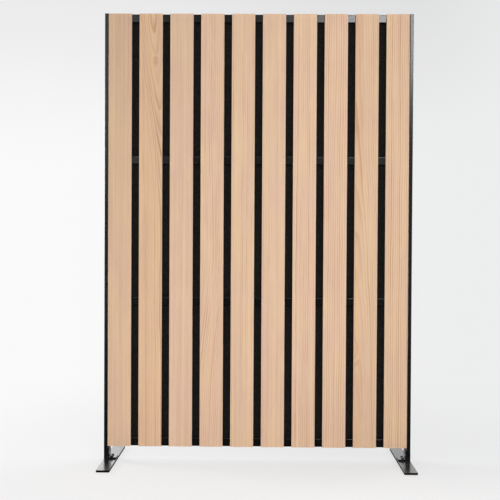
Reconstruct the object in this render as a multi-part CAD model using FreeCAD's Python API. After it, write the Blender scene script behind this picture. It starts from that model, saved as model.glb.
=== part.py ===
import FreeCAD, Part
import math
import os

# Free-standing acoustic screen. Wooden slats stand in front of a felt board. Four rails carry both, and
# hang between two flat-bar uprights, which stand on flat-bar feet.
# Millimetres. +Z is up, +X is right as seen from the front, and +Y points to the back.
# The origin lies on the floor, under the middle of the screen.

# The screen as a whole
overall_width = 1200.0
overall_height = 1750.0
ground_clearance = 60.0

# Uprights, solid flat bar
upright_thickness = 14.0
upright_depth = 50.0
upright_edge_round = 2.0

# Slats, planed boards
slat_count = 10
slat_width = 90.0
slat_thickness = 12.0
slat_edge_round = 1.5
slat_end_chamfer = 0.5
slat_side_clearance = 0.5
slat_setback = 1.0

# Rails, rectangular tube
rail_count = 4
rail_height = 32.0
rail_depth = 15.0
rail_wall = 1.5
rail_inner_round = 1.0

# Plugs welded into the rail ends
plug_length = 20.0
plug_clearance = 0.1

# Felt board
felt_thickness = 20.0
felt_side_clearance = 0.8
felt_end_inset = 2.0
felt_edge_round = 2.0

# Countersunk socket bolts through the uprights, which hold the rails and the foot angles
sunk_bolt_radius = 3.0
sunk_bolt_head_radius = 6.0
sunk_bolt_recess = 0.3
sunk_bolt_hole_clearance = 0.3
sunk_bolt_socket_width = 4.0
sunk_bolt_socket_depth = 2.0
rail_bolt_bite = 14.0
angle_bolt_bite = 5.5
angle_bolt_level = 28.0

# Wood screws that hold the slats, driven from inside the rails
slat_screw_radius = 2.25
slat_screw_head_radius = 4.0
slat_screw_head_height = 2.4
slat_screw_head_slope = 1.2
slat_screw_tip_length = 3.0
slat_screw_cover = 3.5
slat_screw_hole_clearance = 0.25
slat_pilot_clearance = 0.05
slat_pilot_end_gap = 0.5
screwdriver_hole_clearance = 1.0

# Screws and washers that hold the felt
felt_screw_radius = 2.5
felt_screw_head_radius = 5.0
felt_screw_head_height = 3.0
felt_screw_head_slope = 1.5
felt_screw_tip_length = 3.0
felt_screw_bite = 8.0
felt_hole_clearance = 0.2
felt_washer_radius = 12.5
felt_washer_thickness = 1.2
felt_column_count = 5

# Feet, flat bar, with thin floor pads
foot_length = 420.0
foot_width = 50.0
foot_thickness = 8.0
foot_corner_round = 3.0
foot_edge_chamfer = 0.8
pad_length = 60.0
pad_width = 34.0
pad_thickness = 2.0
pad_corner_round = 6.0
pad_inset = 12.0

# Foot angles, bolted to the uprights and to the feet
angle_depth = 50.0
angle_height = 48.0
angle_thickness = 6.0
angle_edge_inset = 1.0
angle_corner_round = 6.0
angle_root_round = 2.5

# Hexagon bolts and washers of the feet
foot_bolt_radius = 3.0
foot_bolt_head_width = 10.0
foot_bolt_head_height = 4.0
foot_bolt_head_chamfer = 0.4
foot_bolt_chamfer_angle = 30.0
foot_bolt_spacing = 30.0
foot_bolt_offset = 15.0
foot_bolt_end_recess = 0.5
foot_bolt_hole_clearance = 0.4
foot_washer_radius = 6.0
foot_washer_thickness = 1.6
foot_washer_chamfer = 0.3

# Room left around a thread, and how far a cutter stands out of what it cuts
thread_clearance = 0.05
cutter_margin = 1.0
thread_end_chamfer = 0.6

# Directions, and how close two places count as one
SIDES = {"left": -1, "right": 1}
SAME_PLACE = 1e-6
Z_AXIS = FreeCAD.Vector(0, 0, 1)
TO_BACK = FreeCAD.Vector(0, 1, 0)
TO_FRONT = FreeCAD.Vector(0, -1, 0)

# Places that follow from the sizes
half_width = overall_width / 2
inside_half_width = half_width - upright_thickness
upright_front = -upright_depth / 2
slat_front = upright_front + slat_setback
rail_front = slat_front + slat_thickness
rail_back = rail_front + rail_depth
rail_middle = (rail_front + rail_back) / 2
felt_back = rail_back + felt_thickness
slat_reach = inside_half_width - slat_side_clearance - slat_width / 2
slat_pitch = 2 * slat_reach / (slat_count - 1)
slat_places = [slat_pitch * number - slat_reach for number in range(slat_count)]
gap_places = [(a + b) / 2 for a, b in zip(slat_places, slat_places[1:])]
felt_fixing_places = gap_places[:: (len(gap_places) - 1) // (felt_column_count - 1)]
lowest_rail = ground_clearance + rail_height / 2
rail_pitch = (overall_height - ground_clearance - rail_height) / (rail_count - 1)
rail_places = [lowest_rail + rail_pitch * number for number in range(rail_count)]
felt_fixings = [(place, height) for height in rail_places for place in felt_fixing_places]
slat_crossings = [(place, height) for height in rail_places for place in slat_places]
rail_ends = [(side, height) for side in SIDES.values() for height in rail_places]
rail_bolt_places = [(rail_middle, height) for height in rail_places]
foot_bottom = pad_thickness
foot_top = foot_bottom + foot_thickness
angle_seat = foot_top + angle_thickness
angle_top = foot_top + angle_height
angle_end = half_width - foot_width + angle_edge_inset
foot_middle = half_width - foot_width / 2
foot_bolt_places = [-foot_bolt_spacing / 2, foot_bolt_spacing / 2]
foot_bolt_line = inside_half_width - foot_bolt_offset
angle_bolt_places = [(place, foot_top + angle_bolt_level) for place in foot_bolt_places]


def block(x_ends, y_ends, z_ends):
    """A box between two places on each axis, given in any order."""
    low = FreeCAD.Vector(min(x_ends), min(y_ends), min(z_ends))
    sizes = [abs(ends[1] - ends[0]) for ends in (x_ends, y_ends, z_ends)]
    return Part.makeBox(*sizes, low)


def edges_along(shape, axis):
    """The straight edges of a shape that run along an axis."""
    straight = [edge for edge in shape.Edges if isinstance(edge.Curve, Part.Line)]
    return [edge for edge in straight if edge.Curve.Direction.cross(axis).Length < SAME_PLACE]


def edges_at_height(shape, height):
    """The edges of a shape that lie wholly at one height."""
    boxes = [(edge, edge.BoundBox) for edge in shape.Edges]
    return [edge for edge, box in boxes if max(abs(box.ZMin - height), abs(box.ZMax - height)) < SAME_PLACE]


def aimed(shape, position, axis):
    """A shape that was made along +Z from the origin, moved to a position and turned along an axis."""
    result = shape.copy()
    result.Placement = FreeCAD.Placement(position, FreeCAD.Rotation(Z_AXIS, axis))
    return result


def turned(outline):
    """A solid of revolution about +Z from (radius, height) corners that start and end on the axis."""
    corners = [FreeCAD.Vector(radius, 0, height) for radius, height in outline]
    face = Part.Face(Part.makePolygon(corners + corners[:1]))
    return face.revolve(FreeCAD.Vector(0, 0, 0), Z_AXIS, 360)


def hexagon(across_flats, height):
    """A hexagonal prism that stands on the origin."""
    corner_radius = across_flats / math.sqrt(3)
    turns = [side * math.pi / 3 for side in range(7)]
    corners = [FreeCAD.Vector(math.cos(turn), math.sin(turn), 0) * corner_radius for turn in turns]
    return Part.Face(Part.makePolygon(corners)).extrude(Z_AXIS * height)


def drill(radius, length):
    """A round cutter along +Z that stands out past both ends of its length."""
    start = FreeCAD.Vector(0, 0, -cutter_margin)
    return Part.makeCylinder(radius, length + 2 * cutter_margin, start)


def rounded_bar(y_ends, z_ends, corner_round, x_ends):
    """A bar along X whose rectangular section has rounded corners."""
    bar = block(x_ends, y_ends, z_ends)
    return bar.makeFillet(corner_round, edges_along(bar, FreeCAD.Vector(1, 0, 0)))


def make_slat(place):
    """One board with eased edges, chamfered ends and a pilot hole at each rail."""
    board = block(
        (place - slat_width / 2, place + slat_width / 2),
        (slat_front, rail_front),
        (ground_clearance, overall_height),
    )
    board = board.makeFillet(slat_edge_round, edges_along(board, Z_AXIS))
    ends = edges_at_height(board, ground_clearance) + edges_at_height(board, overall_height)
    board = board.makeChamfer(slat_end_chamfer, ends)
    pilot_depth = slat_thickness - slat_screw_cover + slat_pilot_end_gap
    pilot = Part.makeCylinder(slat_screw_radius + slat_pilot_clearance, pilot_depth)
    pilots = [aimed(pilot, FreeCAD.Vector(place, rail_front, height), TO_FRONT) for height in rail_places]
    return board.cut(pilots)


def make_upright(side):
    """A flat bar with rounded edges and a countersunk hole for each of its bolts."""
    bar = block(
        (side * half_width, side * inside_half_width),
        (upright_front, -upright_front),
        (foot_top, overall_height),
    )
    bar = bar.makeFillet(upright_edge_round, edges_along(bar, Z_AXIS))
    hole_radius = sunk_bolt_radius + sunk_bolt_hole_clearance
    mouth_radius = sunk_bolt_head_radius + sunk_bolt_recess
    cutter = turned([
        (0, -cutter_margin),
        (mouth_radius, -cutter_margin),
        (mouth_radius, 0),
        (hole_radius, mouth_radius - hole_radius),
        (hole_radius, upright_thickness + cutter_margin),
        (0, upright_thickness + cutter_margin),
    ])
    inward = FreeCAD.Vector(-side, 0, 0)
    places = rail_bolt_places + angle_bolt_places
    mouths = [FreeCAD.Vector(side * half_width, place, height) for place, height in places]
    return bar.cut([aimed(cutter, mouth, inward) for mouth in mouths])


def make_rail(height):
    """A rectangular tube with screw holes to the slats, driver holes behind them and felt screw holes."""
    ends = (-inside_half_width, inside_half_width)
    low, high = height - rail_height / 2, height + rail_height / 2
    outside = rounded_bar((rail_front, rail_back), (low, high), rail_inner_round + rail_wall, ends)
    inside = rounded_bar(
        (rail_front + rail_wall, rail_back - rail_wall),
        (low + rail_wall, high - rail_wall),
        rail_inner_round,
        (ends[0] - cutter_margin, ends[1] + cutter_margin),
    )
    screw_hole = drill(slat_screw_radius + slat_screw_hole_clearance, rail_wall)
    driver_hole = drill(slat_screw_head_radius + screwdriver_hole_clearance, rail_wall)
    felt_hole = drill(felt_screw_radius + thread_clearance, rail_wall)
    cutters = [inside]
    for place in slat_places:
        cutters.append(aimed(screw_hole, FreeCAD.Vector(place, rail_front, height), TO_BACK))
        cutters.append(aimed(driver_hole, FreeCAD.Vector(place, rail_back, height), TO_FRONT))
    for place in felt_fixing_places:
        cutters.append(aimed(felt_hole, FreeCAD.Vector(place, rail_back, height), TO_FRONT))
    return outside.cut(cutters)


def make_rail_plug(side, height):
    """A block that fills one rail end and takes the rail bolt's thread."""
    inset = rail_wall + plug_clearance
    plug = rounded_bar(
        (rail_front + inset, rail_back - inset),
        (height - rail_height / 2 + inset, height + rail_height / 2 - inset),
        rail_inner_round,
        (side * inside_half_width, side * (inside_half_width - plug_length)),
    )
    thread = drill(sunk_bolt_radius + thread_clearance, plug_length)
    start = FreeCAD.Vector(side * inside_half_width, rail_middle, height)
    return plug.cut(aimed(thread, start, FreeCAD.Vector(-side, 0, 0)))


def make_sunk_bolt(side, place, height, bite):
    """A countersunk bolt with a hexagon socket, through the upright and threaded into what is behind it."""
    length = upright_thickness + bite - sunk_bolt_recess
    bolt = turned([
        (0, 0),
        (sunk_bolt_head_radius, 0),
        (sunk_bolt_radius, sunk_bolt_head_radius - sunk_bolt_radius),
        (sunk_bolt_radius, length - thread_end_chamfer),
        (sunk_bolt_radius - thread_end_chamfer, length),
        (0, length),
    ])
    bolt = bolt.cut(hexagon(sunk_bolt_socket_width, sunk_bolt_socket_depth))
    start = FreeCAD.Vector(side * (half_width - sunk_bolt_recess), place, height)
    return aimed(bolt, start, FreeCAD.Vector(-side, 0, 0))


def pan_screw(radius, length, tip_length, head_radius, head_height, head_slope):
    """A pointed screw along +Z whose sloped pan head stands behind the origin."""
    return turned([
        (0, -head_height),
        (head_radius - head_slope, -head_height),
        (head_radius, -head_height / 2),
        (head_radius, 0),
        (radius, 0),
        (radius, length - tip_length),
        (0, length),
    ])


def make_slat_screw(place, height):
    """A wood screw, seated on the inside of the rail's front wall."""
    screw = pan_screw(
        slat_screw_radius,
        rail_wall + slat_thickness - slat_screw_cover,
        slat_screw_tip_length,
        slat_screw_head_radius,
        slat_screw_head_height,
        slat_screw_head_slope,
    )
    return aimed(screw, FreeCAD.Vector(place, rail_front + rail_wall, height), TO_FRONT)


def make_felt():
    """The felt board, with softened edges and a hole for each of its screws."""
    half = inside_half_width - felt_side_clearance
    low, high = ground_clearance + felt_end_inset, overall_height - felt_end_inset
    board = block((-half, half), (rail_back, felt_back), (low, high))
    board = board.makeFillet(felt_edge_round, board.Edges)
    hole = drill(felt_screw_radius + felt_hole_clearance, felt_thickness)
    starts = [FreeCAD.Vector(place, rail_back, height) for place, height in felt_fixings]
    return board.cut([aimed(hole, start, TO_BACK) for start in starts])


def make_felt_washer(place, height):
    """A wide flat washer on the back of the felt."""
    washer = Part.makeCylinder(felt_washer_radius, felt_washer_thickness)
    washer = washer.cut(drill(felt_screw_radius + felt_hole_clearance, felt_washer_thickness))
    return aimed(washer, FreeCAD.Vector(place, felt_back, height), TO_BACK)


def make_felt_screw(place, height):
    """A screw through the washer and the felt into the back wall of the rail."""
    screw = pan_screw(
        felt_screw_radius,
        felt_washer_thickness + felt_thickness + rail_wall + felt_screw_bite,
        felt_screw_tip_length,
        felt_screw_head_radius,
        felt_screw_head_height,
        felt_screw_head_slope,
    )
    return aimed(screw, FreeCAD.Vector(place, felt_back + felt_washer_thickness, height), TO_FRONT)


def make_foot_angle(side):
    """A short piece of angle in the corner of upright and foot, with two bolt holes in each leg."""
    heel, toe = side * inside_half_width, side * angle_end
    inner_face = side * (inside_half_width - angle_thickness)
    y_ends = (-angle_depth / 2, angle_depth / 2)
    lying = block((heel, toe), y_ends, (foot_top, angle_seat))
    standing = block((heel, inner_face), y_ends, (foot_top, angle_top))
    toe_corners = [edge for edge in edges_along(lying, Z_AXIS) if abs(edge.CenterOfMass.x - toe) < SAME_PLACE]
    top_corners = [edge for edge in edges_at_height(standing, angle_top) if edge.Length < angle_depth / 2]
    lying = lying.makeFillet(angle_corner_round, toe_corners)
    standing = standing.makeFillet(angle_corner_round, top_corners)
    angle = lying.fuse(standing).removeSplitter()
    long_edges = edges_along(angle, TO_BACK)
    root = [edge for edge in long_edges if edge.CenterOfMass.sub(root_place(side)).Length < SAME_PLACE]
    angle = angle.makeFillet(angle_root_round, root)
    thread = drill(sunk_bolt_radius + thread_clearance, angle_thickness)
    hole = drill(foot_bolt_radius + foot_bolt_hole_clearance, angle_thickness)
    threads = [FreeCAD.Vector(heel, place, height) for place, height in angle_bolt_places]
    holes = [FreeCAD.Vector(side * foot_bolt_line, place, foot_top) for place in foot_bolt_places]
    cutters = [aimed(thread, start, FreeCAD.Vector(-side, 0, 0)) for start in threads]
    return angle.cut(cutters + [aimed(hole, start, Z_AXIS) for start in holes])


def root_place(side):
    """The middle of the inner corner of a foot angle."""
    return FreeCAD.Vector(side * (inside_half_width - angle_thickness), 0, angle_seat)


def make_foot_plate(side):
    """A flat bar with rounded corners, a chamfered top edge and two threaded holes."""
    plate = block(
        (side * half_width, side * (half_width - foot_width)),
        (-foot_length / 2, foot_length / 2),
        (foot_bottom, foot_top),
    )
    plate = plate.makeFillet(foot_corner_round, edges_along(plate, Z_AXIS))
    plate = plate.makeChamfer(foot_edge_chamfer, edges_at_height(plate, foot_top))
    thread = drill(foot_bolt_radius + thread_clearance, foot_thickness)
    starts = [FreeCAD.Vector(side * foot_bolt_line, place, foot_bottom) for place in foot_bolt_places]
    return plate.cut([aimed(thread, start, Z_AXIS) for start in starts])


def make_foot_pad(side, end):
    """A thin floor pad with rounded corners, stuck under one end of a foot."""
    outer = foot_length / 2 - pad_inset
    pad = block(
        (side * foot_middle - pad_width / 2, side * foot_middle + pad_width / 2),
        (end * outer, end * (outer - pad_length)),
        (0, pad_thickness),
    )
    return pad.makeFillet(pad_corner_round, edges_along(pad, Z_AXIS))


def make_foot_washer(side, place):
    """A flat washer with a chamfered rim, on the foot angle."""
    washer = turned([
        (0, 0),
        (foot_washer_radius, 0),
        (foot_washer_radius, foot_washer_thickness - foot_washer_chamfer),
        (foot_washer_radius - foot_washer_chamfer, foot_washer_thickness),
        (0, foot_washer_thickness),
    ])
    washer = washer.cut(drill(foot_bolt_radius + foot_bolt_hole_clearance, foot_washer_thickness))
    return aimed(washer, FreeCAD.Vector(side * foot_bolt_line, place, angle_seat), Z_AXIS)


def make_foot_bolt(side, place):
    """A hexagon bolt with a chamfered head, through washer and angle into the foot plate."""
    corner_radius = foot_bolt_head_width / math.sqrt(3)
    flat_radius = foot_bolt_head_width / 2 - foot_bolt_head_chamfer
    chamfer_drop = (corner_radius - flat_radius) * math.tan(math.radians(foot_bolt_chamfer_angle))
    head = hexagon(foot_bolt_head_width, foot_bolt_head_height)
    head = head.common(turned([
        (0, 0),
        (corner_radius, 0),
        (corner_radius, foot_bolt_head_height - chamfer_drop),
        (flat_radius, foot_bolt_head_height),
        (0, foot_bolt_head_height),
    ]))
    length = foot_washer_thickness + angle_thickness + foot_thickness - foot_bolt_end_recess
    shank = turned([
        (0, 0),
        (foot_bolt_radius, 0),
        (foot_bolt_radius, thread_end_chamfer - length),
        (foot_bolt_radius - thread_end_chamfer, -length),
        (0, -length),
    ])
    seat = FreeCAD.Vector(side * foot_bolt_line, place, angle_seat + foot_washer_thickness)
    return aimed(head.fuse(shank).removeSplitter(), seat, Z_AXIS)


def build_nodes():
    """Every node's name with its shape. Like fasteners share a node as separate solids."""
    group = Part.makeCompound
    nodes = {f"slat_{number:02d}": make_slat(place) for number, place in enumerate(slat_places, 1)}
    for name, height in zip(("bottom", "lower", "upper", "top"), rail_places):
        nodes[f"rail_{name}"] = make_rail(height)
    nodes["rail_plugs"] = group([make_rail_plug(*rail_end) for rail_end in rail_ends])
    nodes["slat_screws"] = group([make_slat_screw(*crossing) for crossing in slat_crossings])
    nodes["acoustic_felt"] = make_felt()
    nodes["felt_washers"] = group([make_felt_washer(*fixing) for fixing in felt_fixings])
    nodes["felt_screws"] = group([make_felt_screw(*fixing) for fixing in felt_fixings])
    for name, side in SIDES.items():
        nodes[f"upright_{name}"] = make_upright(side)
        for kind, places, bite in (
            ("rail_bolts", rail_bolt_places, rail_bolt_bite),
            ("angle_bolts", angle_bolt_places, angle_bolt_bite),
        ):
            nodes[f"{kind}_{name}"] = group([make_sunk_bolt(side, *place, bite) for place in places])
        nodes[f"foot_angle_{name}"] = make_foot_angle(side)
        nodes[f"foot_plate_{name}"] = make_foot_plate(side)
        nodes[f"foot_pads_{name}"] = group([make_foot_pad(side, end) for end in (-1, 1)])
        nodes[f"foot_washers_{name}"] = group([make_foot_washer(side, place) for place in foot_bolt_places])
        nodes[f"foot_bolts_{name}"] = group([make_foot_bolt(side, place) for place in foot_bolt_places])
    return nodes


def main():
    """Write one file per node and print what each holds."""
    os.makedirs("parts", exist_ok=True)
    for name, shape in build_nodes().items():
        shape.exportStep(f"parts/{name}.step")
        print(f"{name}: {len(shape.Solids)} solids, {shape.Volume / 1000:.1f} cm3, valid {shape.isValid()}")


main()
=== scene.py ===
"""Looks of an acoustic partition: timber slats on a black steel frame, with a felt board behind them.

Sizes are in metres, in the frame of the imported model: X to the right, Y to the back and Z up.
"""

import logging
import math
from dataclasses import dataclass
from enum import Enum
from typing import Callable, Optional, Sequence, Union

import bpy
from mathutils import Matrix, Vector, noise


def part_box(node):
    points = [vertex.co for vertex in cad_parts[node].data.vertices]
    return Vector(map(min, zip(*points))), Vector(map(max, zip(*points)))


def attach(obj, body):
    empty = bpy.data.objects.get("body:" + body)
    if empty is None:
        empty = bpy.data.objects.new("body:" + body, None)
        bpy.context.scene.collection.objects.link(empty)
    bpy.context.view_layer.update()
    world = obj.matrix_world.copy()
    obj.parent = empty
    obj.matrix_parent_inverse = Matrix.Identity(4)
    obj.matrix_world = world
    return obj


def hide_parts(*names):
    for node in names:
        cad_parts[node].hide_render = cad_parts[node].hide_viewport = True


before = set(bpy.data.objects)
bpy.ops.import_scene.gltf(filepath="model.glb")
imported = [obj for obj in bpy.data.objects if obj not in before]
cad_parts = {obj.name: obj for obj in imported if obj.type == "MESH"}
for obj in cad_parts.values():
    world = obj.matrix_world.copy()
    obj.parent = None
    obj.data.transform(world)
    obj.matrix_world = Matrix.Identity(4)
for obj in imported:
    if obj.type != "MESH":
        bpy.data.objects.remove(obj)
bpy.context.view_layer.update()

log = logging.getLogger("acoustic_partition")

ROOT = "root"
QUARTER_TURN = math.pi / 2
Colour = tuple[float, float, float]
Place = tuple[float, float, float]
Span = tuple[float, float]
Operand = Union["Signal", float, Colour, Place]
Inputs = dict[Union[str, int], object]
Ring = list[Vector]


class Slot(Enum):
    """The material slots of the pieces that are made here."""

    WOOD = "slat_wood"
    STEEL = "frame_steel"
    FELT = "acoustic_felt"


class Side(Enum):
    """The two sides of the screen, by the sign of their X."""

    LEFT = -1
    RIGHT = 1

    @property
    def word(self) -> str:
        """The side's name as node names have it."""
        return self.name.lower()


def arithmetic(operation: str, reflected: bool = False) -> Callable[..., "Signal"]:
    """Makes a method of Signal that works out one operation.

    Args:
        operation: The operation of the node that the method adds.
        reflected: True where the signal is the second of two values.

    Returns:
        The method.
    """

    def method(self: "Signal", *others: Operand) -> "Signal":
        """What the operation makes of this, or of this and another value."""
        operands = (*others, self) if reflected else (self, *others)
        return self.graph.calculate(operation, *operands)

    return method


class Signal:
    """A socket that can stand in a Python expression, which adds the nodes that it needs."""

    __add__ = arithmetic("ADD")
    __radd__ = arithmetic("ADD", reflected=True)
    __sub__ = arithmetic("SUBTRACT")
    __rsub__ = arithmetic("SUBTRACT", reflected=True)
    __mul__ = arithmetic("MULTIPLY")
    __rmul__ = arithmetic("MULTIPLY", reflected=True)
    __truediv__ = arithmetic("DIVIDE")
    __rtruediv__ = arithmetic("DIVIDE", reflected=True)
    __abs__ = arithmetic("ABSOLUTE")
    least = arithmetic("MINIMUM")
    most = arithmetic("MAXIMUM")
    floor = arithmetic("FLOOR")
    fraction = arithmetic("FRACT")
    exponential = arithmetic("EXPONENT")
    root = arithmetic("SQRT")

    def __init__(self, graph: "Graph", socket: bpy.types.NodeSocket) -> None:
        """Keeps the socket and the graph that it belongs to."""
        self.graph = graph
        self.socket = socket

    def bell(self) -> "Signal":
        """1 where this is 0, and less the further it is from 0."""
        return (self * self * -1.0).exponential()

    def swing(self, amount: float) -> "Signal":
        """A value around 0.5, turned into one around 0 and scaled by an amount."""
        return amount * (self - 0.5)

    def ramp(self, start: float, end: float) -> "Signal":
        """A smooth step from 0 at start to 1 at end."""
        inputs = {"Value": self, "From Min": start, "From Max": end}
        return self.graph.value("ShaderNodeMapRange", "Result", inputs, interpolation_type="SMOOTHSTEP")

    def parts(self) -> list["Signal"]:
        """The X, Y and Z of a vector."""
        node = self.graph.add("ShaderNodeSeparateXYZ", {"Vector": self})
        return [Signal(self.graph, socket) for socket in node.outputs]


class Graph:
    """The node tree of a material or of the world."""

    def __init__(self, owner: Union[bpy.types.Material, bpy.types.World]) -> None:
        """Empties the owner's node tree.

        Args:
            owner: The material or world whose nodes are built.
        """
        owner.use_nodes = True
        self.tree = owner.node_tree
        self.tree.nodes.clear()

    def add(self, kind: str, inputs: Optional[Inputs] = None, **settings: object) -> bpy.types.Node:
        """Adds a node.

        Args:
            kind: Blender's name of the node type.
            inputs: A value or a signal for each socket that isn't left as it is.
            **settings: Properties of the node, which are set first.

        Returns:
            The new node.
        """
        node = self.tree.nodes.new(kind)
        for name, value in settings.items():
            setattr(node, name, value)
        for name, value in (inputs or {}).items():
            socket = node.inputs[name]
            if isinstance(value, Signal):
                self.tree.links.new(value.socket, socket)
            elif socket.type == "RGBA":
                socket.default_value = (*value, 1.0)
            elif socket.type == "VECTOR" and isinstance(value, (int, float)):
                socket.default_value = (value, value, value)
            else:
                socket.default_value = value
        return node

    def value(
        self, kind: str, output: Union[str, int], inputs: Optional[Inputs] = None, **settings: object
    ) -> Signal:
        """One output of a new node, which add makes of the same arguments."""
        return Signal(self, self.add(kind, inputs, **settings).outputs[output])

    def calculate(self, operation: str, *operands: Operand) -> Signal:
        """Adds a Math node, or a Vector Math node where an operand is a vector.

        Args:
            operation: The node's operation.
            *operands: Signals, numbers or vectors.

        Returns:
            The result.
        """
        vectors = any(
            isinstance(x, tuple) or (isinstance(x, Signal) and x.socket.type == "VECTOR")
            for x in operands
        )
        kind = "ShaderNodeVectorMath" if vectors else "ShaderNodeMath"
        return self.value(kind, 0, dict(enumerate(operands)), operation=operation)

    def mix(self, factor: Operand, low: Operand, high: Operand, blend: str = "MIX") -> Signal:
        """Two colours mixed by the share of the second, which is laid over the first."""
        # The node has sockets of the same names for other types, so these go by number.
        inputs = {0: factor, 6: low, 7: high}
        return self.value("ShaderNodeMix", 2, inputs, data_type="RGBA", blend_type=blend)

    def shade(self, colour: Operand, level: Signal) -> Signal:
        """A colour made lighter or darker by a level around 1."""
        return self.mix(1.0, colour, level, "MULTIPLY")

    def place(self) -> Signal:
        """Where a point lies in its object's own frame."""
        return self.value("ShaderNodeTexCoord", "Object")

    def upward(self) -> Signal:
        """How far the surface looks up, from -1 to 1."""
        return self.value("ShaderNodeNewGeometry", "Normal").parts()[2]

    def noise(self, place: Signal, detail: float = 2.0, roughness: float = 0.5) -> Signal:
        """Soft noise around 0.5, with features about one unit of place across and finer ones on them."""
        inputs = {"Vector": place, "Scale": 1.0, "Detail": detail, "Roughness": roughness}
        return self.value("ShaderNodeTexNoise", 0, inputs)

    def chance(self, number: Signal) -> Signal:
        """A number from 0 to 1 that jumps with each whole number."""
        return self.value("ShaderNodeTexWhiteNoise", "Value", {"W": number}, noise_dimensions="1D")

    def arris(self, place: Signal, box: "Box", width: float) -> Signal:
        """How near a point is to an edge of a box.

        Args:
            place: Where the point lies, in the box's frame.
            box: The box.
            width: How far from the edge the nearness begins.

        Returns:
            0 on the faces, rising to 1 at the edges.
        """
        a, b, c = (
            abs(part - middle).ramp(half - width, half)
            for part, middle, half in zip(place.parts(), box.middle, box.half)
        )
        return a.least(b).most(a.most(b).least(c))

    def bump(self, height: Signal, distance: float, strength: float = 1.0) -> Signal:
        """A normal that is tilted by a height, of which 1 stands out by a distance."""
        inputs = {"Strength": strength, "Distance": distance, "Height": height}
        return self.value("ShaderNodeBump", "Normal", inputs)

    def mix_shaders(self, factor: Signal, first: Signal, second: Signal) -> Signal:
        """Two shaders mixed by the share of the second."""
        return self.value("ShaderNodeMixShader", 0, {0: factor, 1: first, 2: second})

    def close(self, shader: Signal, output: str = "ShaderNodeOutputMaterial") -> None:
        """Ends the tree with a shader."""
        self.add(output, {"Surface": shader})

    def surface(self, inputs: Inputs) -> None:
        """Ends a material with a Principled shader, whose sockets take these values and signals."""
        self.close(self.value("ShaderNodeBsdfPrincipled", 0, inputs))


@dataclass(frozen=True)
class Layer:
    """A figure of a finish, drawn by a noise.

    Attributes:
        scale: How often it repeats in a metre, as one number or as one for each direction.
        detail: How many finer layers of noise it has.
        roughness: How strong those are.
        shows: Where it begins to show and where it shows fully, or None to keep the plain noise.
    """

    scale: Union[float, Place]
    detail: float = 2.0
    roughness: float = 0.5
    shows: Optional[Span] = None

    def at(self, place: Signal) -> Signal:
        """The figure at a place, from 0 to 1, and around 0.5 where it is plain noise."""
        value = place.graph.noise(place * self.scale, self.detail, self.roughness)
        return value.ramp(*self.shows) if self.shows else value


@dataclass(frozen=True)
class Box:
    """An upright box by its middle and half its sizes."""

    middle: Vector
    half: Vector

    @classmethod
    def of_node(cls, node: str) -> "Box":
        """The box of a CAD node."""
        low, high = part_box(node)
        return cls((low + high) / 2, (high - low) / 2)

    @property
    def low(self) -> Vector:
        """The lowest corner."""
        return self.middle - self.half

    @property
    def high(self) -> Vector:
        """The highest corner."""
        return self.middle + self.half


class Finish:
    """A finish, which makes a material of its own for each piece."""

    def paint(self, graph: Graph, box: Box) -> None:
        """Builds the nodes of one material, in each finish's own way."""
        raise NotImplementedError

    def dress(self, piece: bpy.types.Object, box: Box) -> None:
        """Gives a piece this finish.

        Args:
            piece: The piece.
            box: The piece's box, in the piece's own frame.
        """
        material = bpy.data.materials.new(f"{piece.name}_finish")
        self.paint(Graph(material), box)
        piece.data.materials.clear()
        piece.data.materials.append(material)


@dataclass(frozen=True)
class Knot:
    """A small live knot that the growth rings flow round.

    Attributes:
        across, along: Its place from the board's middle line and from its lower end.
        rings: How many rings it lifts.
        half_width, half_length: Half its sizes across and along the board.
        heart: How dark its own wood is, from 0 to 1.
    """

    across: float
    along: float
    rings: float
    half_width: float = 0.007
    half_length: float = 0.016
    heart: float = 0.0

    RIM = 0.8
    RIM_WIDTH = 0.35

    def away(self, place: Signal) -> Signal:
        """How far a point of the board lies from the knot.

        Args:
            place: Where the point lies in the board.

        Returns:
            The distance, where 1 is the knot's rim.
        """
        x, _, z = place.parts()
        aside = (x - self.across) / self.half_width
        above = (z - self.along) / self.half_length
        return (aside * aside + above * above).root()

    def bark(self, place: Signal) -> Signal:
        """How much of the knot's dark rim shows at a point."""
        return ((self.away(place) - self.RIM) / self.RIM_WIDTH).bell() * self.heart


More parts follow.
